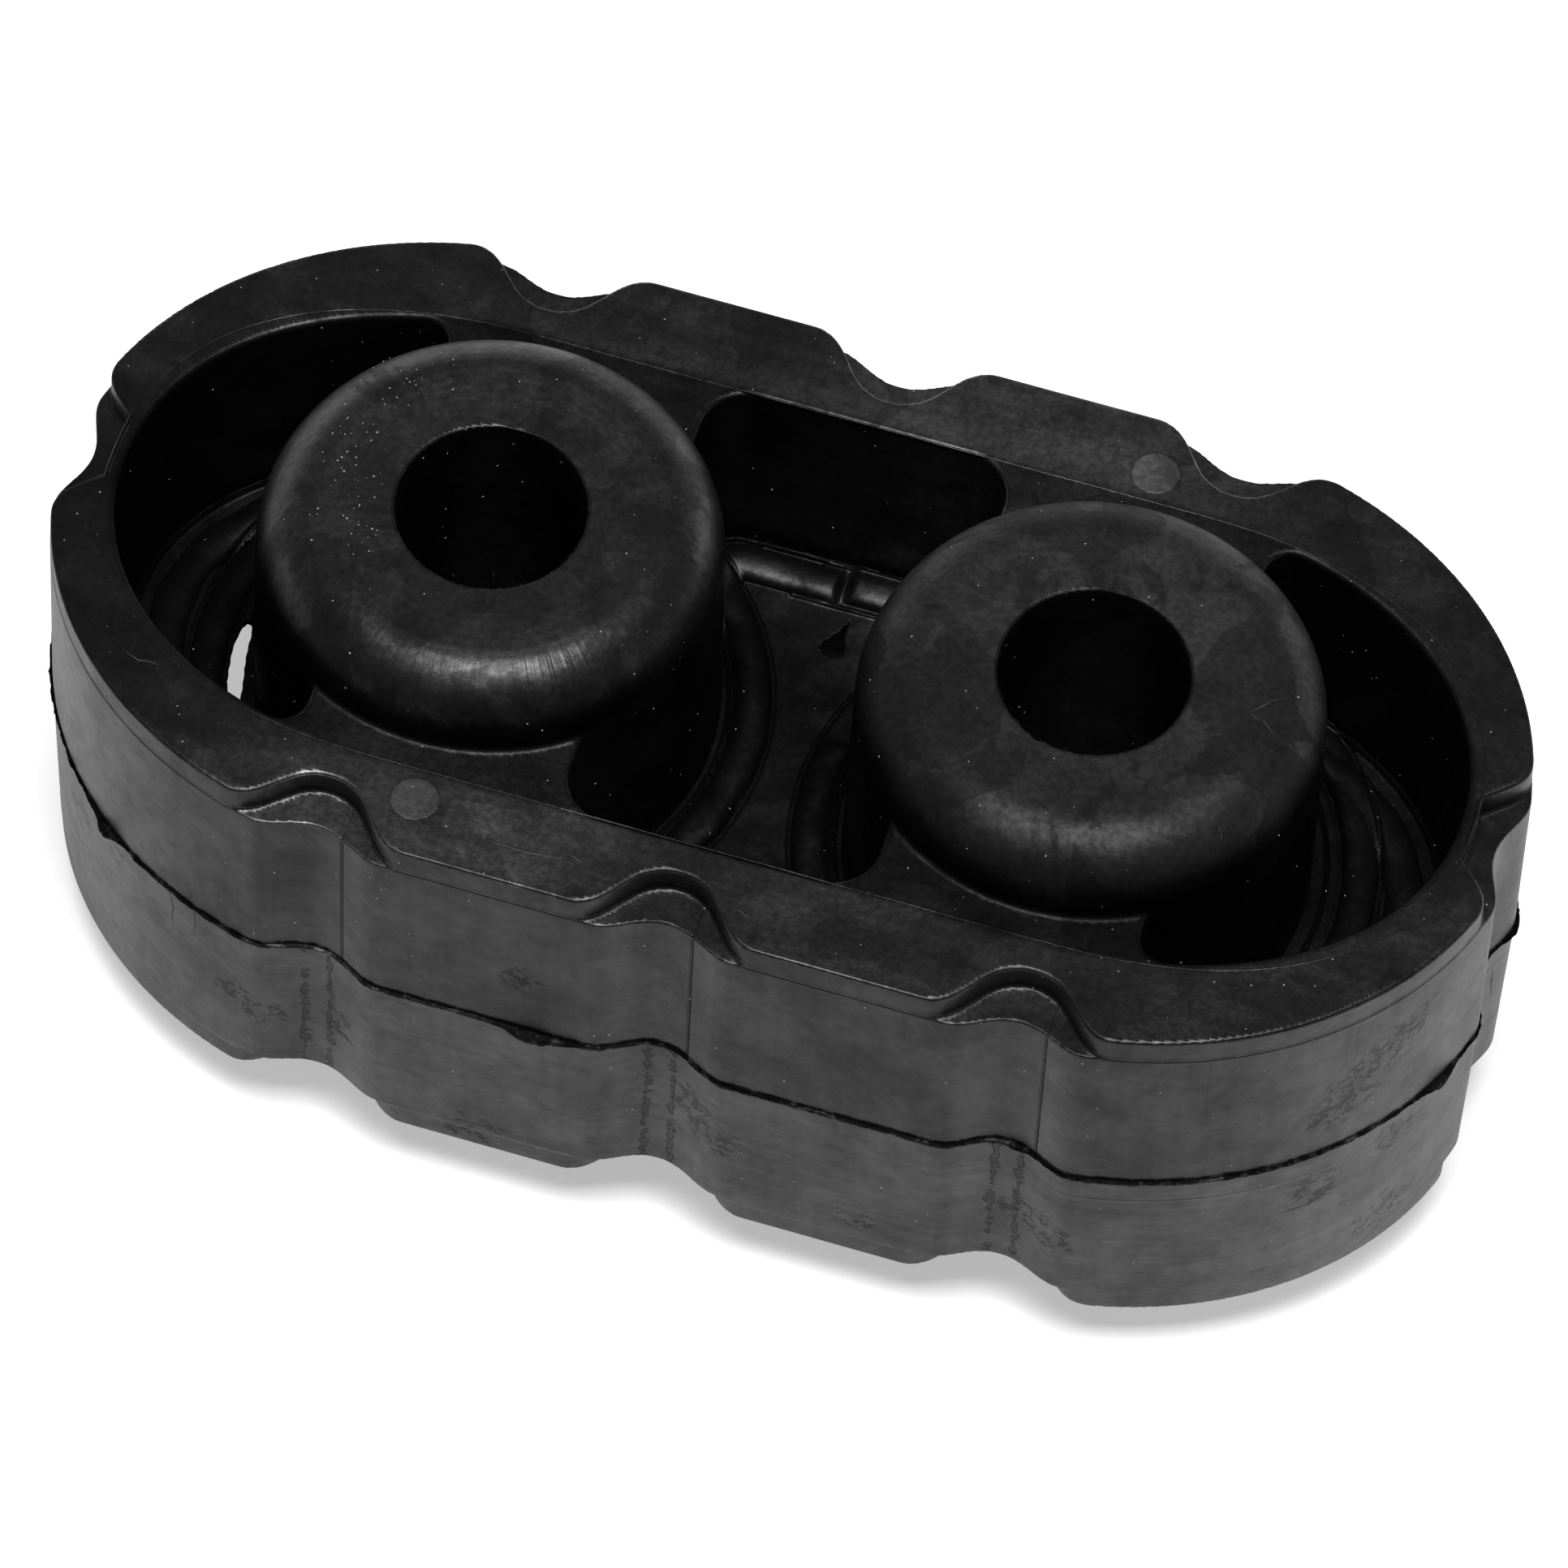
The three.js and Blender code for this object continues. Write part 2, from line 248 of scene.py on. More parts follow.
def bore(x, y, z):
    """The bores, with a torn rim at the front left of the one at +X."""
    across, along = np.abs(x) - BORE_X, y
    off_tear = (x - BORE_X + RIM_TEAR_LEFT) ** 2 + (y + RIM_TEAR_FORWARD) ** 2
    near_tear = np.exp(-off_tear / 3.0 - ((z - BOSS_Z) / 1.2) ** 2)
    return np.hypot(across, along) - BORE_RADIUS - RIM_TEAR_DEPTH * near_tear * (0.6 + wobble(x, y, 0.5))


def rubber(x, y, z):
    """The whole hanger without the webs of flash."""
    pocket = pocket_plan(x, y) + POCKET_DRAFT * (1 - np.abs(z) / FACE_Z)
    body = rounded_max(frame_shape(x, y, z), -pocket, POCKET_EDGE)
    body = rounded_min(body, bosses(x, y, z), FOOT_FILLET)
    return rounded_max(body, -bore(x, y, z), BORE_EDGE)


def bead(distance, place):
    """Height of a bead's rounded section at a distance from the line that its crest is measured from."""
    crest, half, height = place
    return height * np.sqrt(np.maximum(1 - ((distance - crest) / half) ** 2, 0))


def line(distance, crest, half, height):
    """Height of a thin line of flash."""
    return height * np.exp(-((distance - crest) / half) ** 2)


def web_height(x, y):
    """Height of a web's upper surface above the parting plane."""
    wall = -pocket_plan(x, y) - POCKET_DRAFT
    ring = np.hypot(np.abs(x) - BORE_X, y)
    uneven = wobble(x, y, 1.6)
    middle = np.abs(x) < BORE_X
    shift = BEAD_STEP / (1 + np.exp(-(x - BEAD_STEP_X) / 0.12)) * (y > 0)
    gap = 1 - 0.75 * np.exp(-((x - BEAD_BREAK_X) / 0.4) ** 2) * (y > 0)
    middle_wall = bead(wall + shift, WALL_BEAD) * gap
    torn = 1 / (1 + np.exp((y - RING_TORN_Y) / 0.15)) * (x > 0) + (x <= 0)
    middle_ring = bead(ring + 0.15 * uneven, RING_BEAD) * torn
    end_wall = bead(wall + 0.12 * uneven, END_WALL_BEAD)
    end_ring = bead(ring + 0.12 * uneven, END_RING_BEAD)
    beads = np.where(middle, np.maximum(middle_wall, middle_ring), np.maximum(end_wall, end_ring))
    flash = line(wall, 0.3, 0.13, 0.5 + 0.12 * uneven)
    flash = flash + line(wall, 3.35, 0.1, 0.2) * middle * (np.abs(x) < 6 - 0.2 * y)
    flash = flash + line(ring, np.where(middle, 15.4, 15.9), 0.1, 0.22)
    groove = line(ring, np.where(middle, 18.2, 19.3), 0.16, 0.16)
    groove = groove + line(ring, np.where(middle, 15.8, 16.8), 0.2, 0.1)
    return WEB_Z + beads + flash - groove + 0.03 * uneven


def slit(x, y):
    angle = np.degrees(np.arctan2(-y, -(x + BORE_X))) + 180
    share = (angle - SLIT_MIDDLE) / SLIT_HALF_ANGLE
    ring = np.hypot(x + BORE_X, y)
    half = SLIT_WIDTH / 2 * np.sqrt(np.maximum(1 - np.abs(share) ** 3, 0)) + 0.06 * wobble(x, y, 0.5)
    ends = (np.abs(share) - 1) * math.radians(SLIT_HALF_ANGLE) * SLIT_RADIUS
    return np.maximum(np.abs(ring - SLIT_RADIUS) - half, ends)


def web(x, y, z):
    """The webs of flash across the pockets, with their tears."""
    solid = np.abs(z) - web_height(x, y)
    solid = np.maximum(solid, pocket_plan(x, y) + POCKET_DRAFT - 0.4)
    solid = np.maximum(solid, BOSS_RADIUS - np.hypot(np.abs(x) - BORE_X, y))
    tear = polygon(x, y, TEAR) + 0.08 * wobble(x, y, 0.22)
    return rounded_max(np.maximum(solid, -slit(x, y)), -tear, 0.08)


def grid_mesh(shape, low, high, voxel):
    """Vertices and triangles of the surface of a shape, on a grid that is filled only near the surface."""
    blocks = np.ceil((high - low + 2 * MARGIN) / (voxel * BLOCK)).astype(int)
    origin = (low + high) / 2 - blocks * BLOCK * voxel / 2
    far = BAND * voxel
    centres = np.stack(np.meshgrid(*(np.arange(n) for n in blocks), indexing="ij"), -1).reshape(-1, 3)
    middles = origin + (centres + 0.5) * BLOCK * voxel
    distance = shape(*middles.T.astype(np.float32))
    values = np.empty((blocks[0], BLOCK, blocks[1], BLOCK, blocks[2], BLOCK), np.float32)
    values[:] = np.where(distance > 0, far, -far).reshape(blocks)[:, None, :, None, :, None]
    near = centres[np.abs(distance) < BLOCK * voxel + far]
    steps = np.arange(BLOCK)
    for part in np.array_split(near, max(1, len(near) // 2000)):
        x, y, z = (origin[a] + (part[:, a, None] * BLOCK + steps) * voxel for a in range(3))
        points = (x[:, :, None, None], y[:, None, :, None], z[:, None, None, :])
        cube = (len(part), BLOCK, BLOCK, BLOCK)
        found = shape(*(np.broadcast_to(p, cube).astype(np.float32) for p in points))
        values[part[:, 0], :, part[:, 1], :, part[:, 2], :] = np.clip(found, -far, far)
    grid = openvdb.FloatGrid(far)
    grid.copyFromArray(np.ascontiguousarray(values.reshape(blocks * BLOCK)))
    points, triangles, quads = grid.convertToPolygons(0.0, 0.0)
    corners = np.concatenate([triangles, quads[:, [0, 1, 2]], quads[:, [0, 2, 3]]])
    return origin + points * voxel, corners


def slope_of(shape, points, step=0.03):
    """Gradient of a shape's distance at points."""
    columns = []
    for axis in range(3):
        shift = np.zeros(3)
        shift[axis] = step
        ahead, behind = shape(*(points + shift).T), shape(*(points - shift).T)
        columns.append((ahead - behind) / (2 * step))
    return np.stack(columns, -1)


def settle(shape, points, reach, turns=2):
    """Moves points onto the surface of a shape, by at most a reach each turn."""
    for _ in range(turns):
        slope = slope_of(shape, points)
        move = shape(*points.T)[:, None] * slope / np.maximum((slope ** 2).sum(1, keepdims=True), 0.1)
        length = np.linalg.norm(move, axis=1, keepdims=True)
        points = points - move * np.minimum(1, reach / np.maximum(length, 1e-9))
    return points


def mesh_object(name, vertices, faces):
    mesh = bpy.data.meshes.new(name)
    mesh.from_pydata(vertices, [], faces)
    mesh.update()
    piece = bpy.data.objects.new(name, mesh)
    bpy.context.scene.collection.objects.link(piece)
    return piece


def reduced(piece, triangles):
    """Takes triangles away where the surface is flattest."""
    modifier = piece.modifiers.new("fewer", "DECIMATE")
    modifier.ratio = min(1.0, triangles / len(piece.data.polygons))
    graph = bpy.context.evaluated_depsgraph_get()
    mesh = bpy.data.meshes.new_from_object(piece.evaluated_get(graph))
    piece.modifiers.clear()
    piece.data = mesh
    return piece


def placed(points):
    """Millimetres about the parting plane to metres in the part's frame."""
    return (np.asarray(points, float) + [0, 0, BOSS_Z]) * MM


def solid_of(name, shape, low, high, voxel):
    """A piece with the surface of a shape, with its normals from the shape's slope."""
    points, triangles = grid_mesh(shape, np.array(low, float), np.array(high, float), voxel)
    points = settle(shape, points, voxel / 2)
    piece = reduced(mesh_object(name, points, triangles), TRIANGLES)
    mesh = piece.data
    places = np.empty(len(mesh.vertices) * 3)
    mesh.vertices.foreach_get("co", places)
    places = places.reshape(-1, 3)
    normals = slope_of(shape, places)
    normals /= np.maximum(np.linalg.norm(normals, axis=1, keepdims=True), 1e-6)
    mesh.vertices.foreach_set("co", placed(places).ravel())
    mesh.polygons.foreach_set("use_smooth", np.ones(len(mesh.polygons), bool))
    mesh.normals_split_custom_set_from_vertices(normals)
    mesh.update()
    return piece


def camera():
    """A camera at the photo's place, aimed at the block's middle."""
    right = Vector((math.cos(AZIMUTH), math.sin(AZIMUTH), 0))
    ahead = Vector((-math.sin(AZIMUTH) * math.cos(ELEVATION), math.cos(AZIMUTH) * math.cos(ELEVATION),
                    -math.sin(ELEVATION)))
    up = right.cross(ahead)
    target = Vector((0, 0, BOSS_Z)) + AIM_RIGHT * right + AIM_UP * up
    place = (target - DISTANCE * ahead) * MM
    turned_right = math.cos(ROLL) * right + math.sin(ROLL) * up
    turned_up = -math.sin(ROLL) * right + math.cos(ROLL) * up
    data = bpy.data.cameras.new("camera")
    data.sensor_width = SENSOR
    data.lens = FOCAL_PIXELS * SENSOR / PHOTO_SIDE
    data.clip_start, data.clip_end = 0.01, 20
    view = bpy.data.objects.new("camera", data)
    bpy.context.scene.collection.objects.link(view)
    turn = Matrix((turned_right, turned_up, -ahead)).transposed()
    view.matrix_world = Matrix.Translation(place) @ turn.to_4x4()
    bpy.context.scene.camera = view
    return view


class Surface:
    """The finished rubber as the camera meets it: finds the place behind a pixel of the photo."""

    def __init__(self, view, pieces):
        self.view = view
        vertices, faces = [], []
        for piece in pieces:
            start = len(vertices)
            vertices += [vertex.co.copy() for vertex in piece.data.vertices]
            faces += [[start + i for i in face.vertices] for face in piece.data.polygons]
        self.tree = BVHTree.FromPolygons(vertices, faces)

    def touch(self, pixel):
        """Place and normal of the surface behind a pixel, or nothing where the floor shows."""
        half = PHOTO_SIDE / 2
        ray = Vector(((pixel[0] - half) / FOCAL_PIXELS, (half - pixel[1]) / FOCAL_PIXELS, -1))
        start = self.view.matrix_world.translation
        ahead = (self.view.matrix_world.to_3x3() @ ray).normalized()
        place, normal, _, _ = self.tree.ray_cast(start, ahead)
        if place is not None and normal.dot(ahead) > 0:
            normal = -normal
        return place, normal


def strip(places, normals, widths, height):
    """Vertices and faces of a thin closed ridge that lies along places on a surface."""
    vertices, faces = [], []
    count = len(places)
    for i, (place, normal, width) in enumerate(zip(places, normals, widths)):
        along = (places[min(i + 1, count - 1)] - places[max(i - 1, 0)]).normalized()
        side = normal.cross(along).normalized() * width / 2
        vertices += [place - side - normal * height, place + normal * height, place + side - normal * height]
        if i:
            a, b = 3 * (i - 1), 3 * i
            faces += [(a, b, b + 1, a + 1), (a + 1, b + 1, b + 2, a + 2), (a + 2, b + 2, b, a)]
    last = 3 * (count - 1)
    faces += [(0, 1, 2), (last + 2, last + 1, last)]
    return vertices, faces


def joined(name, parts):
    """One mesh object out of many lots of vertices and faces."""
    vertices, faces = [], []
    for more_vertices, more_faces in parts:
        start = len(vertices)
        vertices += more_vertices
        faces += [tuple(start + i for i in face) for face in more_faces]
    piece = mesh_object(name, vertices, faces)
    piece.data.polygons.foreach_set("use_smooth", np.ones(len(faces), bool))
    return piece


def strokes(name, surface, marks, width, height, step=8.0):
    """Thin strips on the surface along lines that are given by pixels of the photo."""
    parts = []
    for mark in marks:
        places, normals = [], []
        for start, end in zip(mark, mark[1:]):
            count = max(2, int(math.dist(start, end) / step))
            for i in range(count):
                share = i / count
                pixel = [s + (e - s) * share + random.normal(0, 0.7) for s, e in zip(start, end)]
                place, normal = surface.touch(pixel)
                if place is not None and (not places or (place - places[-1]).length < 2 * MM):
                    places.append(place)
                    normals.append(normal)
        if len(places) > 2:
            shares = np.linspace(0, math.pi, len(places))
            widths = width * MM * (0.15 + np.sin(shares)) * random.uniform(0.6, 1.2, len(places))
            parts.append(strip(places, normals, widths, height * MM))
    return joined(name, parts)


def specks(name, surface, pixels, low, high):
    """Small irregular crumbs on the surface behind the pixels."""
    parts = []
    ball = [(1, 0, 0), (0.3, 0.9, 0), (-0.8, 0.6, 0), (-0.8, -0.6, 0), (0.3, -0.9, 0)]
    faces = [(i, (i + 1) % 5, 5) for i in range(5)] + [((i + 1) % 5, i, 6) for i in range(5)]
    for pixel in pixels:
        place, normal = surface.touch(pixel)
        if place is None:
            continue
        size = random.uniform(low, high) * MM
        turn = normal.to_track_quat("Z", "Y").to_matrix() @ Matrix.Rotation(random.uniform(0, 6.28), 3, "Z")
        rim = [turn @ Vector(p) * size * random.uniform(0.6, 1.3) for p in ball]
        points = [place + p for p in rim] + [place + normal * size * 0.6, place - normal * size * 0.6]
        parts.append((points, faces))
    return joined(name, parts)


def loop_points(reach, half, exponent, spacing):
    """Points round a straight-sided loop with curved ends, evenly spaced."""
    turn = np.linspace(-math.pi / 2, math.pi / 2, 400)
    x = END_CENTRE + reach * np.abs(np.cos(turn)) ** (2 / exponent)
    y = half * np.sign(np.sin(turn)) * np.abs(np.sin(turn)) ** (2 / exponent)
    whole = np.concatenate([np.stack([x, y], 1), -np.stack([x, y], 1)])
    whole = np.concatenate([whole, whole[:1]])
    travel = np.concatenate([[0], np.cumsum(np.linalg.norm(np.diff(whole, axis=0), axis=1))])
    stops = np.arange(0, travel[-1], spacing)
    return np.stack([np.interp(stops, travel, whole[:, a]) for a in (0, 1)], 1)


def swept(name, path, outward, section):
    """A closed ridge round a loop. The section gives (out, up) pairs for each point of the path."""
    count, sides = len(path), len(section(0))
    vertices = []
    for i in range(count):
        for out, up in section(i):
            vertices.append(path[i] + [outward[i][0] * out, outward[i][1] * out, up])
    faces = []
    for i in range(count):
        for k in range(sides):
            a, b = i * sides, ((i + 1) % count) * sides
            faces.append((a + k, b + k, b + (k + 1) % sides, a + (k + 1) % sides))
    piece = mesh_object(name, placed(vertices), faces)
    piece.data.polygons.foreach_set("use_smooth", np.ones(len(faces), bool))
    return piece


def parting_flash():
    """The ragged flash that the mould's two halves left round the outer wall."""
    plan = loop_points(END_REACH, HALF_WIDTH, 2, 0.22)
    path = settle(frame_shape, np.column_stack([plan, np.zeros(len(plan))]), 0.5, turns=14)
    slope = slope_of(frame_shape, path)[:, :2]
    outward = slope / np.linalg.norm(slope, axis=1, keepdims=True)
    x, y = path[:, 0], path[:, 1]
    reach = 0.17 + 0.07 * wobble(x, y, 0.9) + random.normal(0, 0.025, len(x))
    lift = 0.1 * wobble(x, y, 2.2, 1.0) + 0.05 * wobble(x, y, 0.5, 2.0)
    thick = 0.07 + 0.03 * wobble(x, y, 0.7, 3.0)
    for (tab_x, tab_y), length, size in FLASH_TABS:
        near = np.exp(-((x - tab_x) ** 2 + (y - tab_y) ** 2) / length ** 2)
        reach, thick, lift = reach + 0.6 * size * near, thick + 0.5 * size * near, lift - 0.5 * size * near

    def section(i):
        r, t, u = reach[i], thick[i], lift[i]
        lower = [(-0.4, u - t), (0.7 * r, u - 0.9 * t), (r, u - 0.3 * t)]
        upper = [(r, u + 0.3 * t), (0.7 * r, u + 0.9 * t), (-0.4, u + t)]
        return lower + upper

    return swept("parting_flash", path, outward, section)


def face_lines():
    """The thin raised line round the pockets on both faces, where the mould's insert met its frame."""
    pieces = []
    plan = loop_points(END_POCKET_REACH + LINE_OUT, POCKET_HALF_WIDTH + LINE_SIDE, LINE_BULGE, 0.3)
    after, before = np.roll(plan, -1, axis=0), np.roll(plan, 1, axis=0)
    along = (after - before) / np.linalg.norm(after - before, axis=1, keepdims=True)
    outward = np.stack([along[:, 1], -along[:, 0]], 1)
    rise = 0.05 + 0.035 * wobble(plan[:, 0], plan[:, 1], 3.0) + random.normal(0, 0.008, len(plan))
    for side, name in ((1, "upper_face_line"), (-1, "lower_face_line")):
        path = np.column_stack([plan, np.full(len(plan), side * FACE_Z)])

        def section(i):
            return [(-0.12, -0.05), (0.0, side * max(rise[i], 0.01)), (0.12, -0.05)][::side]

        pieces.append(swept(name, path, outward, section))
    return pieces


# Torn tabs of flash on the parting line: place, length and size
FLASH_TABS = [((-39.4, -17.2), 1.1, 0.8), ((-9.0, -23.3), 1.9, 0.8), ((45.4, -8.6), 1.0, 0.7),
              ((21.6, -22.0), 1.6, 0.35), ((46.6, 3.5), 1.0, 0.4), ((-30.0, 22.0), 1.2, 0.4)]

# The line on the faces, measured out from the pockets' loop
LINE_OUT, LINE_SIDE, LINE_BULGE = 0.85, 0.1, 2.3

# Marks on the surface, as lines of pixels of the photo
LIGHT_SCRATCHES = [
    [(720, 1365), (735, 1352), (750, 1348), (762, 1352)], [(1275, 1475), (1290, 1487), (1310, 1495)],
    [(600, 1035), (650, 1050), (700, 1060)], [(1540, 877), (1562, 867), (1600, 856)],
    [(1538, 878), (1558, 889), (1569, 904), (1584, 913)], [(690, 1345), (705, 1352), (722, 1354)],
    [(1120, 1395), (1150, 1402), (1175, 1400)], [(700, 1052), (712, 1060), (722, 1066)],
    [(905, 1120), (918, 1126), (928, 1136)], [(1500, 1010), (1506, 1030), (1502, 1042)],
    [(150, 800), (170, 812), (205, 822)], [(1015, 1200), (1022, 1212), (1030, 1222)],
    [(1463, 857), (1478, 842), (1496, 850), (1508, 868), (1500, 880), (1482, 876)],
    [(846, 1335), (862, 1350), (884, 1362)], [(850, 1350), (868, 1366), (880, 1382)],
    [(858, 1372), (872, 1392), (890, 1408)], [(846, 1362), (856, 1384), (866, 1402)],
    [(1262, 1482), (1282, 1498), (1300, 1512)], [(1252, 1496), (1270, 1512), (1280, 1530)],
    [(1282, 1468), (1300, 1486), (1318, 1498)], [(724, 1348), (742, 1354), (760, 1347)],
]
DARK_SCUFFS = [
    [(410, 1262), (425, 1275), (432, 1290)], [(1840, 1190), (1838, 1210), (1836, 1238)],
    [(205, 1080), (212, 1110), (214, 1150)], [(230, 1085), (240, 1120), (242, 1160)],
    [(1852, 1158), (1846, 1166), (1840, 1176)], [(560, 1378), (590, 1386), (640, 1396)],
    [(600, 1034), (640, 1046), (680, 1054)], [(1560, 1500), (1600, 1488), (1650, 1464)],
]

# Single specks of dust, the area that others lie in, and the middle of the boss whose rim is dusty
DUST = [(415, 718), (510, 1259), (850, 900), (374, 700), (384, 665), (350, 640), (410, 740), (428, 655),
        (1837, 902), (1590, 1012), (1634, 1098), (700, 505), (808, 565), (1605, 1215), (1340, 1400),
        (238, 800), (1380, 1128), (640, 470), (1036, 968), (1118, 1280), (470, 760), (1620, 1215),
        (132, 772), (595, 612), (608, 708)]
DUSTY_AREA, WIDE_SPECKS = ((60, 330), (1880, 1560)), 420
DUSTY_BOSS, DUSTY_RIM, RIM_SPECKS = (607, 600), (235, 205), 90

# Scuffed patches on the walls: the pixels of the photo at their middles, by the patches' radius
SCUFFED = {
    1.6: [(420, 1262), (1052, 1500), (640, 1205)], 1.8: [(1752, 1248), (325, 1246)], 1.9: [(1258, 1490)],
    2.0: [(1716, 1395), (290, 1222), (850, 1358)],
    2.2: [(66, 880), (140, 1040), (587, 1392), (874, 1398), (1290, 1520)],
    2.4: [(1645, 1368), (1730, 1272), (1617, 1463), (72, 930), (100, 1000)], 2.6: [(1700, 1490)],
    2.8: [(1672, 1340), (1702, 1305)],
}


def dust(surface):
    """Pale dust, most of it on the upper left of the boss at -X."""
    wide = random.uniform(*DUSTY_AREA, (WIDE_SPECKS, 2))
    turn = random.uniform(math.radians(105), math.radians(215), RIM_SPECKS)
    reach = random.normal(0.8, 0.1, RIM_SPECKS)
    across = DUSTY_BOSS[0] + DUSTY_RIM[0] * reach * np.cos(turn)
    down = DUSTY_BOSS[1] - DUSTY_RIM[1] * reach * np.sin(turn)
    pixels = np.concatenate([wide, np.stack([across, down], 1)])
    return specks("dust", surface, DUST + [tuple(p) for p in pixels], 0.02, 0.085)


class Shader:
    """Short calls for building a material's nodes. Lengths are in millimetres about the part's origin."""

    def __init__(self, name):
        self.material = bpy.data.materials.new(name)
        self.material.use_nodes = True
        self.nodes = self.material.node_tree.nodes
        self.links = self.material.node_tree.links
        self.principled = self.nodes["Principled BSDF"]

    def node(self, kind, inputs=(), **settings):
        made = self.nodes.new(kind)
        for name, value in settings.items():
            setattr(made, name, value)
        for socket, value in inputs:
            if isinstance(value, bpy.types.NodeSocket):
                self.links.new(value, made.inputs[socket])
            else:
                made.inputs[socket].default_value = value
        return made

    def math(self, operation, a, b=0.0):
        return self.node("ShaderNodeMath", ((0, a), (1, b)), operation=operation).outputs[0]

    def product(self, first, *others):
        for other in others:
            first = self.math("MULTIPLY", first, other)
        return first

    def rest(self, share):
        """What a share leaves of 1."""
        return self.math("SUBTRACT", 1.0, share)

    def off(self, value, crest):
        """How far a value is from another, either way."""
        return self.math("ABSOLUTE", self.math("SUBTRACT", value, crest))

    def blend(self, share, a, b):
        """A number between a and b."""
        return self.node("ShaderNodeMapRange", ((0, share), (3, a), (4, b))).outputs[0]

    def ramp(self, value, low, high, a=0.0, b=1.0):
        inputs = ((0, value), (1, low), (2, high), (3, a), (4, b))
        return self.node("ShaderNodeMapRange", inputs, interpolation_type="SMOOTHSTEP").outputs[0]

    def places(self, scale=(1, 1, 1)):
        coordinates = self.node("ShaderNodeTexCoord").outputs["Object"]
        sizes = tuple(s / MM for s in scale)
        return self.node("ShaderNodeMapping", (("Vector", coordinates), ("Scale", sizes))).outputs[0]

    def noise(self, vector, scale, detail=3.0, roughness=0.55):
        inputs = (("Vector", vector), ("Scale", scale), ("Detail", detail), ("Roughness", roughness))
        return self.node("ShaderNodeTexNoise", inputs).outputs[0]

    def distance(self, vector, x, y):
        """Distance in plan from a place."""
        flat = self.node("ShaderNodeVectorMath", ((0, vector), (1, (1, 1, 0))), operation="MULTIPLY")
        return self.away(flat.outputs[0], (x, y, 0))

    def away(self, vector, place):
        """Distance from a place."""
        inputs = ((0, vector), (1, place))
        return self.node("ShaderNodeVectorMath", inputs, operation="DISTANCE").outputs["Value"]

    def relief(self, bumps):
        """Fine reliefs laid over each other, each with its height, its depth and its strength."""
        under = ()
        for height, depth, strength in bumps:
            inputs = (("Height", height), ("Distance", depth * MM), ("Strength", strength), *under)
            under = (("Normal", self.node("ShaderNodeBump", inputs).outputs[0]),)
        return under[0][1]


class Places:
    """Where a point of the rubber lies: its coordinates, and shares from 0 to 1 for each kind of place."""

    def __init__(self, shader):
        self.shader = shader
        self.mm = shader.places()
        self.x, self.y, self.z = shader.node("ShaderNodeSeparateXYZ", ((0, self.mm),)).outputs
        self.height = shader.math("ABSOLUTE", shader.math("SUBTRACT", self.z, float(BOSS_Z)))
        normal = shader.node("ShaderNodeNewGeometry").outputs["Normal"]
        across, _, up = shader.node("ShaderNodeSeparateXYZ", ((0, normal),)).outputs
        steep = shader.ramp(shader.math("ABSOLUTE", up), 0.1, 0.25, 1, 0)
        size = self.loop_size()
        self.outside = shader.ramp(size, 1.04, 1.08)
        self.wall = shader.math("MULTIPLY", steep, self.outside)
        # Walls that face the ends of the block; their gloss is raised there as a painted sheen.
        self.end = shader.math("MULTIPLY", self.wall, shader.ramp(shader.math("ABSOLUTE", across), 0.3, 0.95))
        self.lower = shader.ramp(self.z, BOSS_Z + 0.1, BOSS_Z - 0.1)
        # Painted shade: inside the pockets' loop the rubber darkens from just below the bosses' rounded ends
        # downwards, and it is dark inside the bores and at their rims.
        below_face = shader.ramp(self.height, FACE_Z + 4.0, FACE_Z + 0.8)
        depth_shade = shader.math("MULTIPLY", shader.ramp(size, 1.04, 1.0), below_face)
        first, second = (shader.distance(self.mm, x, 0) for x in (-BORE_X, BORE_X))
        in_bore = shader.ramp(shader.math("MINIMUM", first, second), BORE_RADIUS + 0.3, BORE_RADIUS + 0.1)
        self.depth_shade = shader.math("MAXIMUM", depth_shade, in_bore)
        self.from_first = first
        self.first_boss = shader.ramp(first, BOSS_RADIUS + 0.5, BOSS_RADIUS)
        self.second_boss = shader.ramp(second, BOSS_RADIUS + 0.5, BOSS_RADIUS)
        self.bosses = shader.math("MAXIMUM", self.first_boss, self.second_boss)
        # Painted shade on the fronts of the bosses, from below their rounded ends down towards the faces.
        foot = shader.ramp(self.height, FACE_Z + 4.3, FACE_Z + 2.0)
        self.under = shader.product(foot, shader.ramp(self.y, -3.0, -9.0), self.bosses)

    def loop_size(self):
        """Grows outwards, and is 1 on the pockets' loop."""
        shader = self.shader
        past = shader.math("SUBTRACT", shader.math("ABSOLUTE", self.x), float(END_CENTRE))
        along = shader.math("DIVIDE", shader.math("MAXIMUM", past), float(END_POCKET_REACH))
        across = shader.math("DIVIDE", self.y, float(POCKET_HALF_WIDTH))
        squares = (shader.math("MULTIPLY", share, share) for share in (along, across))
        return shader.math("SQRT", shader.math("ADD", *squares))

    def near(self, x, y, inner, outer):
        """Share that is 1 within one radius of a place in plan and 0 beyond another."""
        return self.shader.ramp(self.shader.distance(self.mm, x, y), inner, outer, 1, 0)


def pin_marks(shader, places, uneven, centre, radius):
    """Shares of a round mark and of the ring round it, for a mark and its twin across the middle. The ring is
    darkened as painted shade at the mark's edge.
    """
    x, y = centre
    nearest = shader.math("MINIMUM", shader.distance(places.mm, x, y), shader.distance(places.mm, -x, -y))
    nearest = shader.math("ADD", nearest, uneven)
    on_face = shader.ramp(places.z, BOSS_Z + FACE_Z - 0.5, BOSS_Z + FACE_Z - 0.3)
    disc = shader.math("MULTIPLY", shader.ramp(nearest, radius - 0.06, radius + 0.06, 1, 0), on_face)
    rim = shader.math("MULTIPLY", shader.ramp(shader.off(nearest, radius + 0.1), 0.05, 0.2, 1, 0), on_face)
    return disc, rim


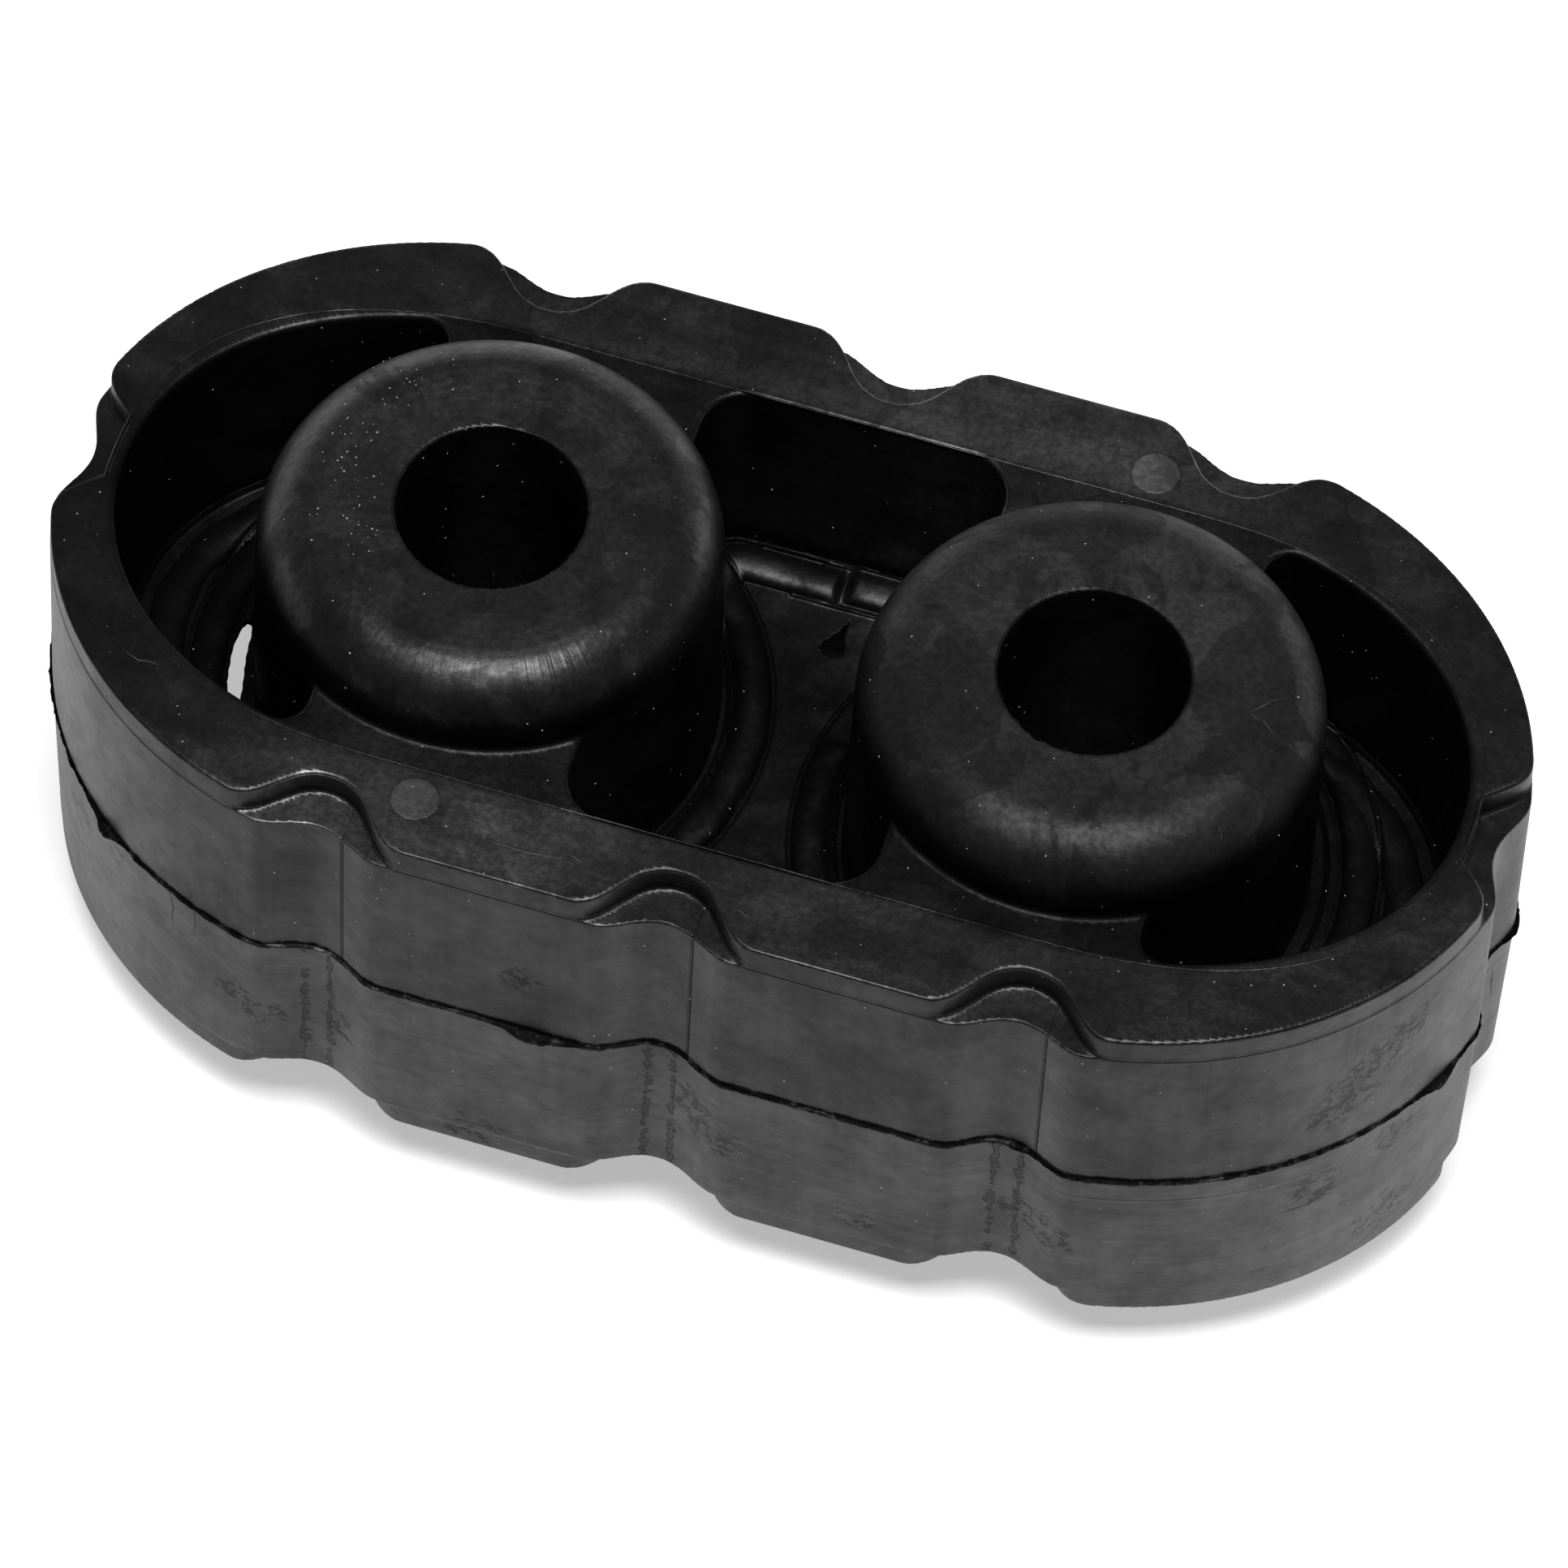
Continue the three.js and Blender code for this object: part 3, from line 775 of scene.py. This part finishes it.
def flute_shade_and_sheen(shader, places, mottle):
    """Painted shade and highlight in the flutes in front: shade along a crease, a lip on one side with a
    highlight painted as raised gloss, and shade in a sunken channel below.
    """
    along = shader.math("SUBTRACT", places.x, FRONT_SLIP)
    inputs = ((0, along), (1, NOTCH_PITCH / 2), (2, -NOTCH_PITCH / 2))
    offset = shader.node("ShaderNodeMath", inputs, operation="WRAP").outputs[0]
    below_band = shader.ramp(places.height, 14.3, 13.9)
    before_ends = shader.ramp(shader.math("ABSOLUTE", places.x), 30.0, 29.0)
    front = shader.product(shader.ramp(places.y, -18.0, -19.0), below_band, before_ends)
    upper = shader.math("MULTIPLY", front, shader.rest(places.lower))
    crease = shader.math("MULTIPLY", shader.ramp(shader.off(offset, CREASE), 0.04, 0.16, 1, 0), upper)
    past_crease = shader.ramp(offset, CREASE + 0.05, CREASE + 0.2)
    lip = shader.product(past_crease, shader.ramp(offset, 3.8, 3.1), upper)
    off_channel = shader.off(shader.math("ABSOLUTE", offset), CHANNEL / 2)
    off_channel = shader.math("ADD", off_channel, shader.blend(mottle, -1.0, 1.0))
    channel = shader.product(shader.ramp(off_channel, 0.02, 0.2, 1, 0), front, places.lower)
    return crease, lip, channel


def top_gloss(shader, places, stains):
    """Gloss of the faces and bosses: brushed, stained, and glossier in some areas than in others."""
    brushed = shader.ramp(shader.noise(shader.places((0.14, 0.6, 1.0)), 1.0, 4), 0.35, 0.65, 0.75, 1.25)
    mixed = shader.ramp(shader.noise(places.mm, 0.3, 5, 0.65), 0.35, 0.65, 0.75, 1.25)
    face = shader.product(brushed, mixed, FACE_GLOSS)
    for x, y, inner, outer, change in GLOSSY_AREAS:
        face = shader.math("MULTIPLY", face, shader.blend(places.near(x, y, inner, outer), 1.0, change))
    boss = shader.blend(places.second_boss, FIRST_BOSS_GLOSS, SECOND_BOSS_GLOSS)
    boss = shader.product(mixed, boss, shader.ramp(places.y, -14.0, 12.0, 0.85, 1.45))
    on_boss = shader.math("MULTIPLY", places.bosses, shader.ramp(places.height, FACE_Z + 0.3, FACE_Z + 1.0))
    gloss = shader.math("ADD", shader.math("MULTIPLY", face, shader.rest(on_boss)),
                        shader.math("MULTIPLY", boss, on_boss))
    fine = shader.ramp(shader.noise(places.mm, 2.4, 3), 0.35, 0.65, 0.8, 1.2)
    return shader.product(gloss, fine, shader.blend(stains, 1.12, 0.6))


def wall_gloss(shader, places):
    """Gloss of the outer walls: hazy, with streaks down them and fine lines along their lower half."""
    haze = shader.ramp(shader.noise(places.mm, 0.16, 6, 0.65), 0.35, 0.65, 0.68, 1.25)
    spots = shader.ramp(shader.noise(places.mm, 0.9, 5, 0.7), 0.35, 0.65, 0.84, 1.12)
    streaks = shader.ramp(shader.noise(shader.places((0.9, 0.9, 0.04)), 1.0, 4), 0.35, 0.65, 0.92, 1.08)
    along = shader.ramp(shader.noise(shader.places((0.035, 0.035, 2.6)), 1.0, 3), 0.4, 0.65, 0.0, 1.0)
    lines = shader.blend(shader.math("MULTIPLY", along, places.lower), 1.04, 0.86)
    level = shader.blend(places.lower, UPPER_WALL_GLOSS, LOWER_WALL_GLOSS)
    # Painted sheen: more gloss on the walls that face the ends.
    level = shader.math("ADD", level, shader.math("MULTIPLY", places.end, END_PAINTED_SHEEN))
    level = shader.math("MULTIPLY", level, shader.ramp(places.x, 5.0, 34.0, 0.97, 1.15))
    return shader.product(level, haze, spots, streaks, lines)


def scuffs(shader, places, surface):
    """Share of the crumbled dark scuffs on the walls."""
    nearest = FAR_OFF
    for radius, pixels in SCUFFED.items():
        alike = FAR_OFF
        for pixel in pixels:
            place, _ = surface.touch(pixel)
            if place is not None:
                alike = shader.math("MINIMUM", shader.away(places.mm, place / MM), alike)
        nearest = shader.math("MINIMUM", shader.math("DIVIDE", alike, radius), nearest)
    ragged = shader.math("ADD", nearest, shader.blend(shader.noise(places.mm, 0.7, 3), -0.6, 0.6))
    inputs = (("Vector", places.mm), ("Scale", 1.5), ("Detail", 4.0), ("Roughness", 0.6), ("Distortion", 0.6))
    crumbs = shader.ramp(shader.node("ShaderNodeTexNoise", inputs).outputs[0], 0.5, 0.57)
    return shader.product(shader.ramp(ragged, 0.55, 1.05, 1, 0), crumbs, places.wall)


def mould_line_shade_and_sheen(shader, places, mottle):
    """Shares of the ragged parting line, of the edge of the bands, and of a line low on the wall. The first
    two are darkened as painted shade, and the low line gets a highlight painted as raised gloss.
    """
    uneven = shader.math("ADD", places.height, shader.blend(mottle, -0.3, 0.3))
    parting = shader.product(shader.ramp(uneven, 0.34, 0.52, 1, 0), places.outside,
                             shader.ramp(mottle, 0.5, 0.62, 1, 0.35))
    off_band = shader.off(places.height, FACE_Z - BAND_HEIGHT)
    band_line = shader.math("MULTIPLY", shader.ramp(off_band, 0.03, 0.12, 1, 0), places.wall)
    off_low = shader.off(places.z, BOSS_Z - LOW_LINE)
    low_line = shader.product(shader.ramp(off_low, 0.04, 0.14, 1, 0), places.wall,
                              shader.ramp(places.x, 22.0, 26.0))
    return parting, band_line, low_line


def tool_marks(shader, places):
    """Heights of a tool's marks on the boss at -X: across its rounding, and round its flat end."""
    angle = shader.math("ARCTAN2", places.y, shader.math("ADD", places.x, BORE_X))
    around = shader.node("ShaderNodeCombineXYZ", ((0, shader.math("MULTIPLY", angle, 26.0)), (1, 0.0)))
    on_rounding = shader.math("MULTIPLY", shader.ramp(places.from_first, 10.5, 12), places.first_boss)
    deepest = shader.blend(places.near(*TOOL_MARKS, 2.5, 5.5), 0.25, 1.0)
    across = shader.product(shader.noise(around.outputs[0], 1.0, 2), on_rounding, deepest)
    waves = shader.math("SINE", shader.math("MULTIPLY", places.from_first, 9.0))
    rings = shader.product(waves, shader.ramp(places.from_first, 12.0, 11.0),
                           shader.ramp(places.from_first, 7.0, 8.5))
    return across, rings


def rubber_material(surface):
    """Black moulded rubber: unevenly glossy, stained and brushed, with marks of the mould and of wear.
    Painted shade darkens the pockets, the bores, the fronts of the bosses, the parting line, the bands'
    edges, the rings of the pin marks and the flutes' creases and channels; painted sheen as raised gloss lies
    on the end walls, the flutes' lips and a low line.
    """
    shader = Shader("black_rubber")
    places = Places(shader)
    clouds = shader.noise(places.mm, 0.09, 4)
    mottle = shader.noise(places.mm, 1.1, 5, 0.65)
    grain = shader.noise(places.mm, 7.0, 2)
    inputs = (("Vector", places.mm), ("Scale", 0.14), ("Detail", 6.0), ("Distortion", 0.8))
    stains = shader.ramp(shader.node("ShaderNodeTexNoise", inputs).outputs[0], 0.51, 0.54)
    uneven = shader.blend(shader.noise(places.mm, 2.5), -0.12, 0.12)
    large_disc, large_rim = pin_marks(shader, places, uneven, LARGE_MARK, LARGE_MARK_RADIUS)
    small_disc, small_rim = pin_marks(shader, places, uneven, SMALL_MARK, SMALL_MARK_RADIUS)
    disc = shader.math("MAXIMUM", large_disc, shader.math("MULTIPLY", small_disc, 0.3))
    rim = shader.math("MAXIMUM", large_rim, shader.math("MULTIPLY", small_rim, 0.6))
    crease, lip, channel = flute_shade_and_sheen(shader, places, mottle)
    parting, band_line, low_line = mould_line_shade_and_sheen(shader, places, mottle)
    across, rings = tool_marks(shader, places)
    scuffed = scuffs(shader, places, surface)

    # Painted shade: the parting line, the bands' edges, the rings of the pin marks, the flutes' creases and
    # channels, the fronts of the bosses and the depths of the pockets and bores. The scuffs among them are
    # real wear.
    dark = shader.math("MULTIPLY", parting, 0.8)
    darker = ((band_line, 0.35), (rim, 0.15), (crease, 0.5), (channel, 0.45), (scuffed, 0.55),
              (places.under, 0.75), (places.depth_shade, POCKET_PAINTED_SHADE))
    for share, strength in darker:
        dark = shader.math("MAXIMUM", dark, shader.math("MULTIPLY", share, strength))
    light = shader.rest(dark)

    tone = shader.math("ADD", shader.blend(clouds, 0.003, 0.007), shader.blend(mottle, -0.0015, 0.0025))
    tone = shader.math("ADD", tone, shader.math("MULTIPLY", disc, 0.009))
    tone = shader.math("MULTIPLY", tone, light)
    bluish = shader.math("MULTIPLY", tone, 1.03)
    colour = shader.node("ShaderNodeCombineColor", ((0, tone), (1, tone), (2, bluish)))
    shader.links.new(colour.outputs[0], shader.principled.inputs["Base Color"])

    rough = shader.math("ADD", shader.blend(clouds, 0.34, 0.42), shader.blend(mottle, -0.06, 0.06))
    for share, change in ((disc, 0.1), (places.second_boss, 0.12), (stains, 0.03), (parting, 0.3)):
        rough = shader.math("ADD", rough, shader.math("MULTIPLY", share, change))
    shader.links.new(rough, shader.principled.inputs["Roughness"])

    gloss = shader.math("ADD", shader.math("MULTIPLY", wall_gloss(shader, places), places.wall),
                        shader.math("MULTIPLY", top_gloss(shader, places, stains), shader.rest(places.wall)))
    # The painted shade dims the gloss as well; the flutes' lips and the low line get painted highlights as
    # raised gloss.
    gloss = shader.math("MULTIPLY", gloss, shader.math("ADD", light, shader.math("MULTIPLY", lip, 0.12)))
    gloss = shader.math("ADD", gloss, shader.math("MULTIPLY", low_line, 0.03))
    shader.links.new(gloss, shader.principled.inputs["Specular IOR Level"])

    grooves = shader.math("MAXIMUM", shader.math("MAXIMUM", band_line, crease), channel)
    bumps = ((clouds, 0.6, 0.25), (mottle, 0.045, 0.4), (scuffed, -0.08, 0.5), (across, 0.12, 0.6),
             (rings, 0.006, 0.4), (disc, 0.03, 0.5), (grooves, -0.1, 0.7), (low_line, 0.06, 0.6),
             (grain, 0.014, 0.6))
    shader.links.new(shader.relief(bumps), shader.principled.inputs["Normal"])
    return shader.material


def mark_material(name, low, high, roughness):
    """A plain mottled tone for scratches, scuffs and dust."""
    shader = Shader(name)
    mottle = shader.noise(shader.places(), 3.0, 3)
    tone = shader.blend(mottle, low, high)
    colour = shader.node("ShaderNodeCombineColor", ((0, tone), (1, tone), (2, tone)))
    shader.links.new(colour.outputs[0], shader.principled.inputs["Base Color"])
    rough = shader.blend(mottle, roughness - 0.05, roughness + 0.05)
    shader.links.new(rough, shader.principled.inputs["Roughness"])
    return shader.material


# What the camera sees of the floor apart from its own light, so that its white shows as white
FLOOR_SEEN = 0.45

# The sky: its glow near the horizon, how high that reaches, its level above, and the share left in front
SKY_GLOW, SKY_GLOW_TOP, SKY_DIM, SKY_FRONT = 1.6, 0.5, 0.02, 0.06
LAMP_PLACE, LAMP_SIZE, LAMP_WATTS = (0.05, -0.14, 0.9), (0.42, 0.34), 9.2
FLOOR_SIDE = 6.0


def floor():
    """A white floor that keeps the object's shadow."""
    corners = [(x * FLOOR_SIDE, y * FLOOR_SIDE, 0) for x, y in ((-1, -1), (1, -1), (1, 1), (-1, 1))]
    piece = mesh_object("floor", corners, [(0, 1, 2, 3)])
    material = bpy.data.materials.new("white_floor")
    material.use_nodes = True
    shader = material.node_tree.nodes["Principled BSDF"]
    shader.inputs["Base Color"].default_value = (0.9, 0.9, 0.9, 1)
    shader.inputs["Roughness"].default_value = 1.0
    shader.inputs["Specular IOR Level"].default_value = 0.0
    shader.inputs["Emission Color"].default_value = (1, 1, 1, 1)
    seen = material.node_tree.nodes.new("ShaderNodeLightPath").outputs["Is Camera Ray"]
    share = material.node_tree.nodes.new("ShaderNodeMath")
    share.operation = "MULTIPLY"
    share.inputs[1].default_value = FLOOR_SEEN
    material.node_tree.links.new(seen, share.inputs[0])
    material.node_tree.links.new(share.outputs[0], shader.inputs["Emission Strength"])
    piece.data.materials.append(material)


def lamp(name, place, size, watts):
    data = bpy.data.lights.new(name, "AREA")
    data.shape = "RECTANGLE"
    data.size, data.size_y = size
    data.energy = watts
    piece = bpy.data.objects.new(name, data)
    piece.location = place
    piece.rotation_euler = (-Vector(place)).to_track_quat("-Z", "Y").to_euler()
    bpy.context.scene.collection.objects.link(piece)


def sky(world):
    """A dim dome with a soft glow low at the sides and behind, which lights the rims of the bosses."""
    nodes, links = world.node_tree.nodes, world.node_tree.links
    direction = nodes.new("ShaderNodeTexCoord").outputs["Generated"]
    split = nodes.new("ShaderNodeSeparateXYZ")
    links.new(direction, split.inputs[0])
    glow = nodes.new("ShaderNodeMapRange")
    glow.interpolation_type = "SMOOTHSTEP"
    for socket, value in zip((1, 2, 3, 4), (0.02, SKY_GLOW_TOP, SKY_GLOW, SKY_DIM)):
        glow.inputs[socket].default_value = value
    links.new(split.outputs[2], glow.inputs[0])
    front = nodes.new("ShaderNodeMapRange")
    for socket, value in zip((1, 2, 3, 4), (-0.6, 0.1, SKY_FRONT, 1.0)):
        front.inputs[socket].default_value = value
    links.new(split.outputs[1], front.inputs[0])
    level = nodes.new("ShaderNodeMath")
    level.operation = "MULTIPLY"
    links.new(glow.outputs[0], level.inputs[0])
    links.new(front.outputs[0], level.inputs[1])
    links.new(level.outputs[0], nodes["Background"].inputs["Strength"])
    nodes["Background"].inputs["Color"].default_value = (1, 1, 1, 1)


def lights():
    lamp("overhead", LAMP_PLACE, LAMP_SIZE, LAMP_WATTS)
    world = bpy.data.worlds.new("world")
    bpy.context.scene.world = world
    world.use_nodes = True
    sky(world)


def dress(piece, material):
    """Gives a piece its material, and lets it move with the part."""
    piece.data.materials.append(material)
    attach(piece, "root")


bpy.context.scene.view_settings.view_transform = "Standard"
view = camera()
half_size = (HIGH - LOW) / 2
moulded = solid_of("moulded_rubber", rubber, -half_size, half_size, BODY_VOXEL)
middle = (MIDDLE_POCKET_X + 0.5, POCKET_HALF_WIDTH + 0.5, WEB_Z + 1.2)
webs = [solid_of("middle_web", web, [-m for m in middle], middle, WEB_VOXEL)]
for name, side in (("left_web", -1), ("right_web", 1)):
    ends = sorted((side * (END_POCKET_X - 0.5), side * (END_CENTRE + END_POCKET_REACH + 0.5)))
    low, high = (ends[0], -middle[1], -middle[2]), (ends[1], middle[1], middle[2])
    webs.append(solid_of(name, web, low, high, WEB_VOXEL))
surface = Surface(view, [moulded, *webs])
rubber_look = rubber_material(surface)
for piece in (moulded, *webs, parting_flash(), *face_lines()):
    dress(piece, rubber_look)
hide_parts(NODE)
scratches = strokes("scratches", surface, LIGHT_SCRATCHES, 0.09, 0.01)
dress(scratches, mark_material("pale_scratch", 0.05, 0.09, 0.6))
dark_marks = strokes("scuffs", surface, DARK_SCUFFS, 0.2, 0.01)
dress(dark_marks, mark_material("dark_scuff", 0.002, 0.005, 0.8))
dress(dust(surface), mark_material("pale_dust", 0.25, 0.45, 0.9))
floor()
lights()
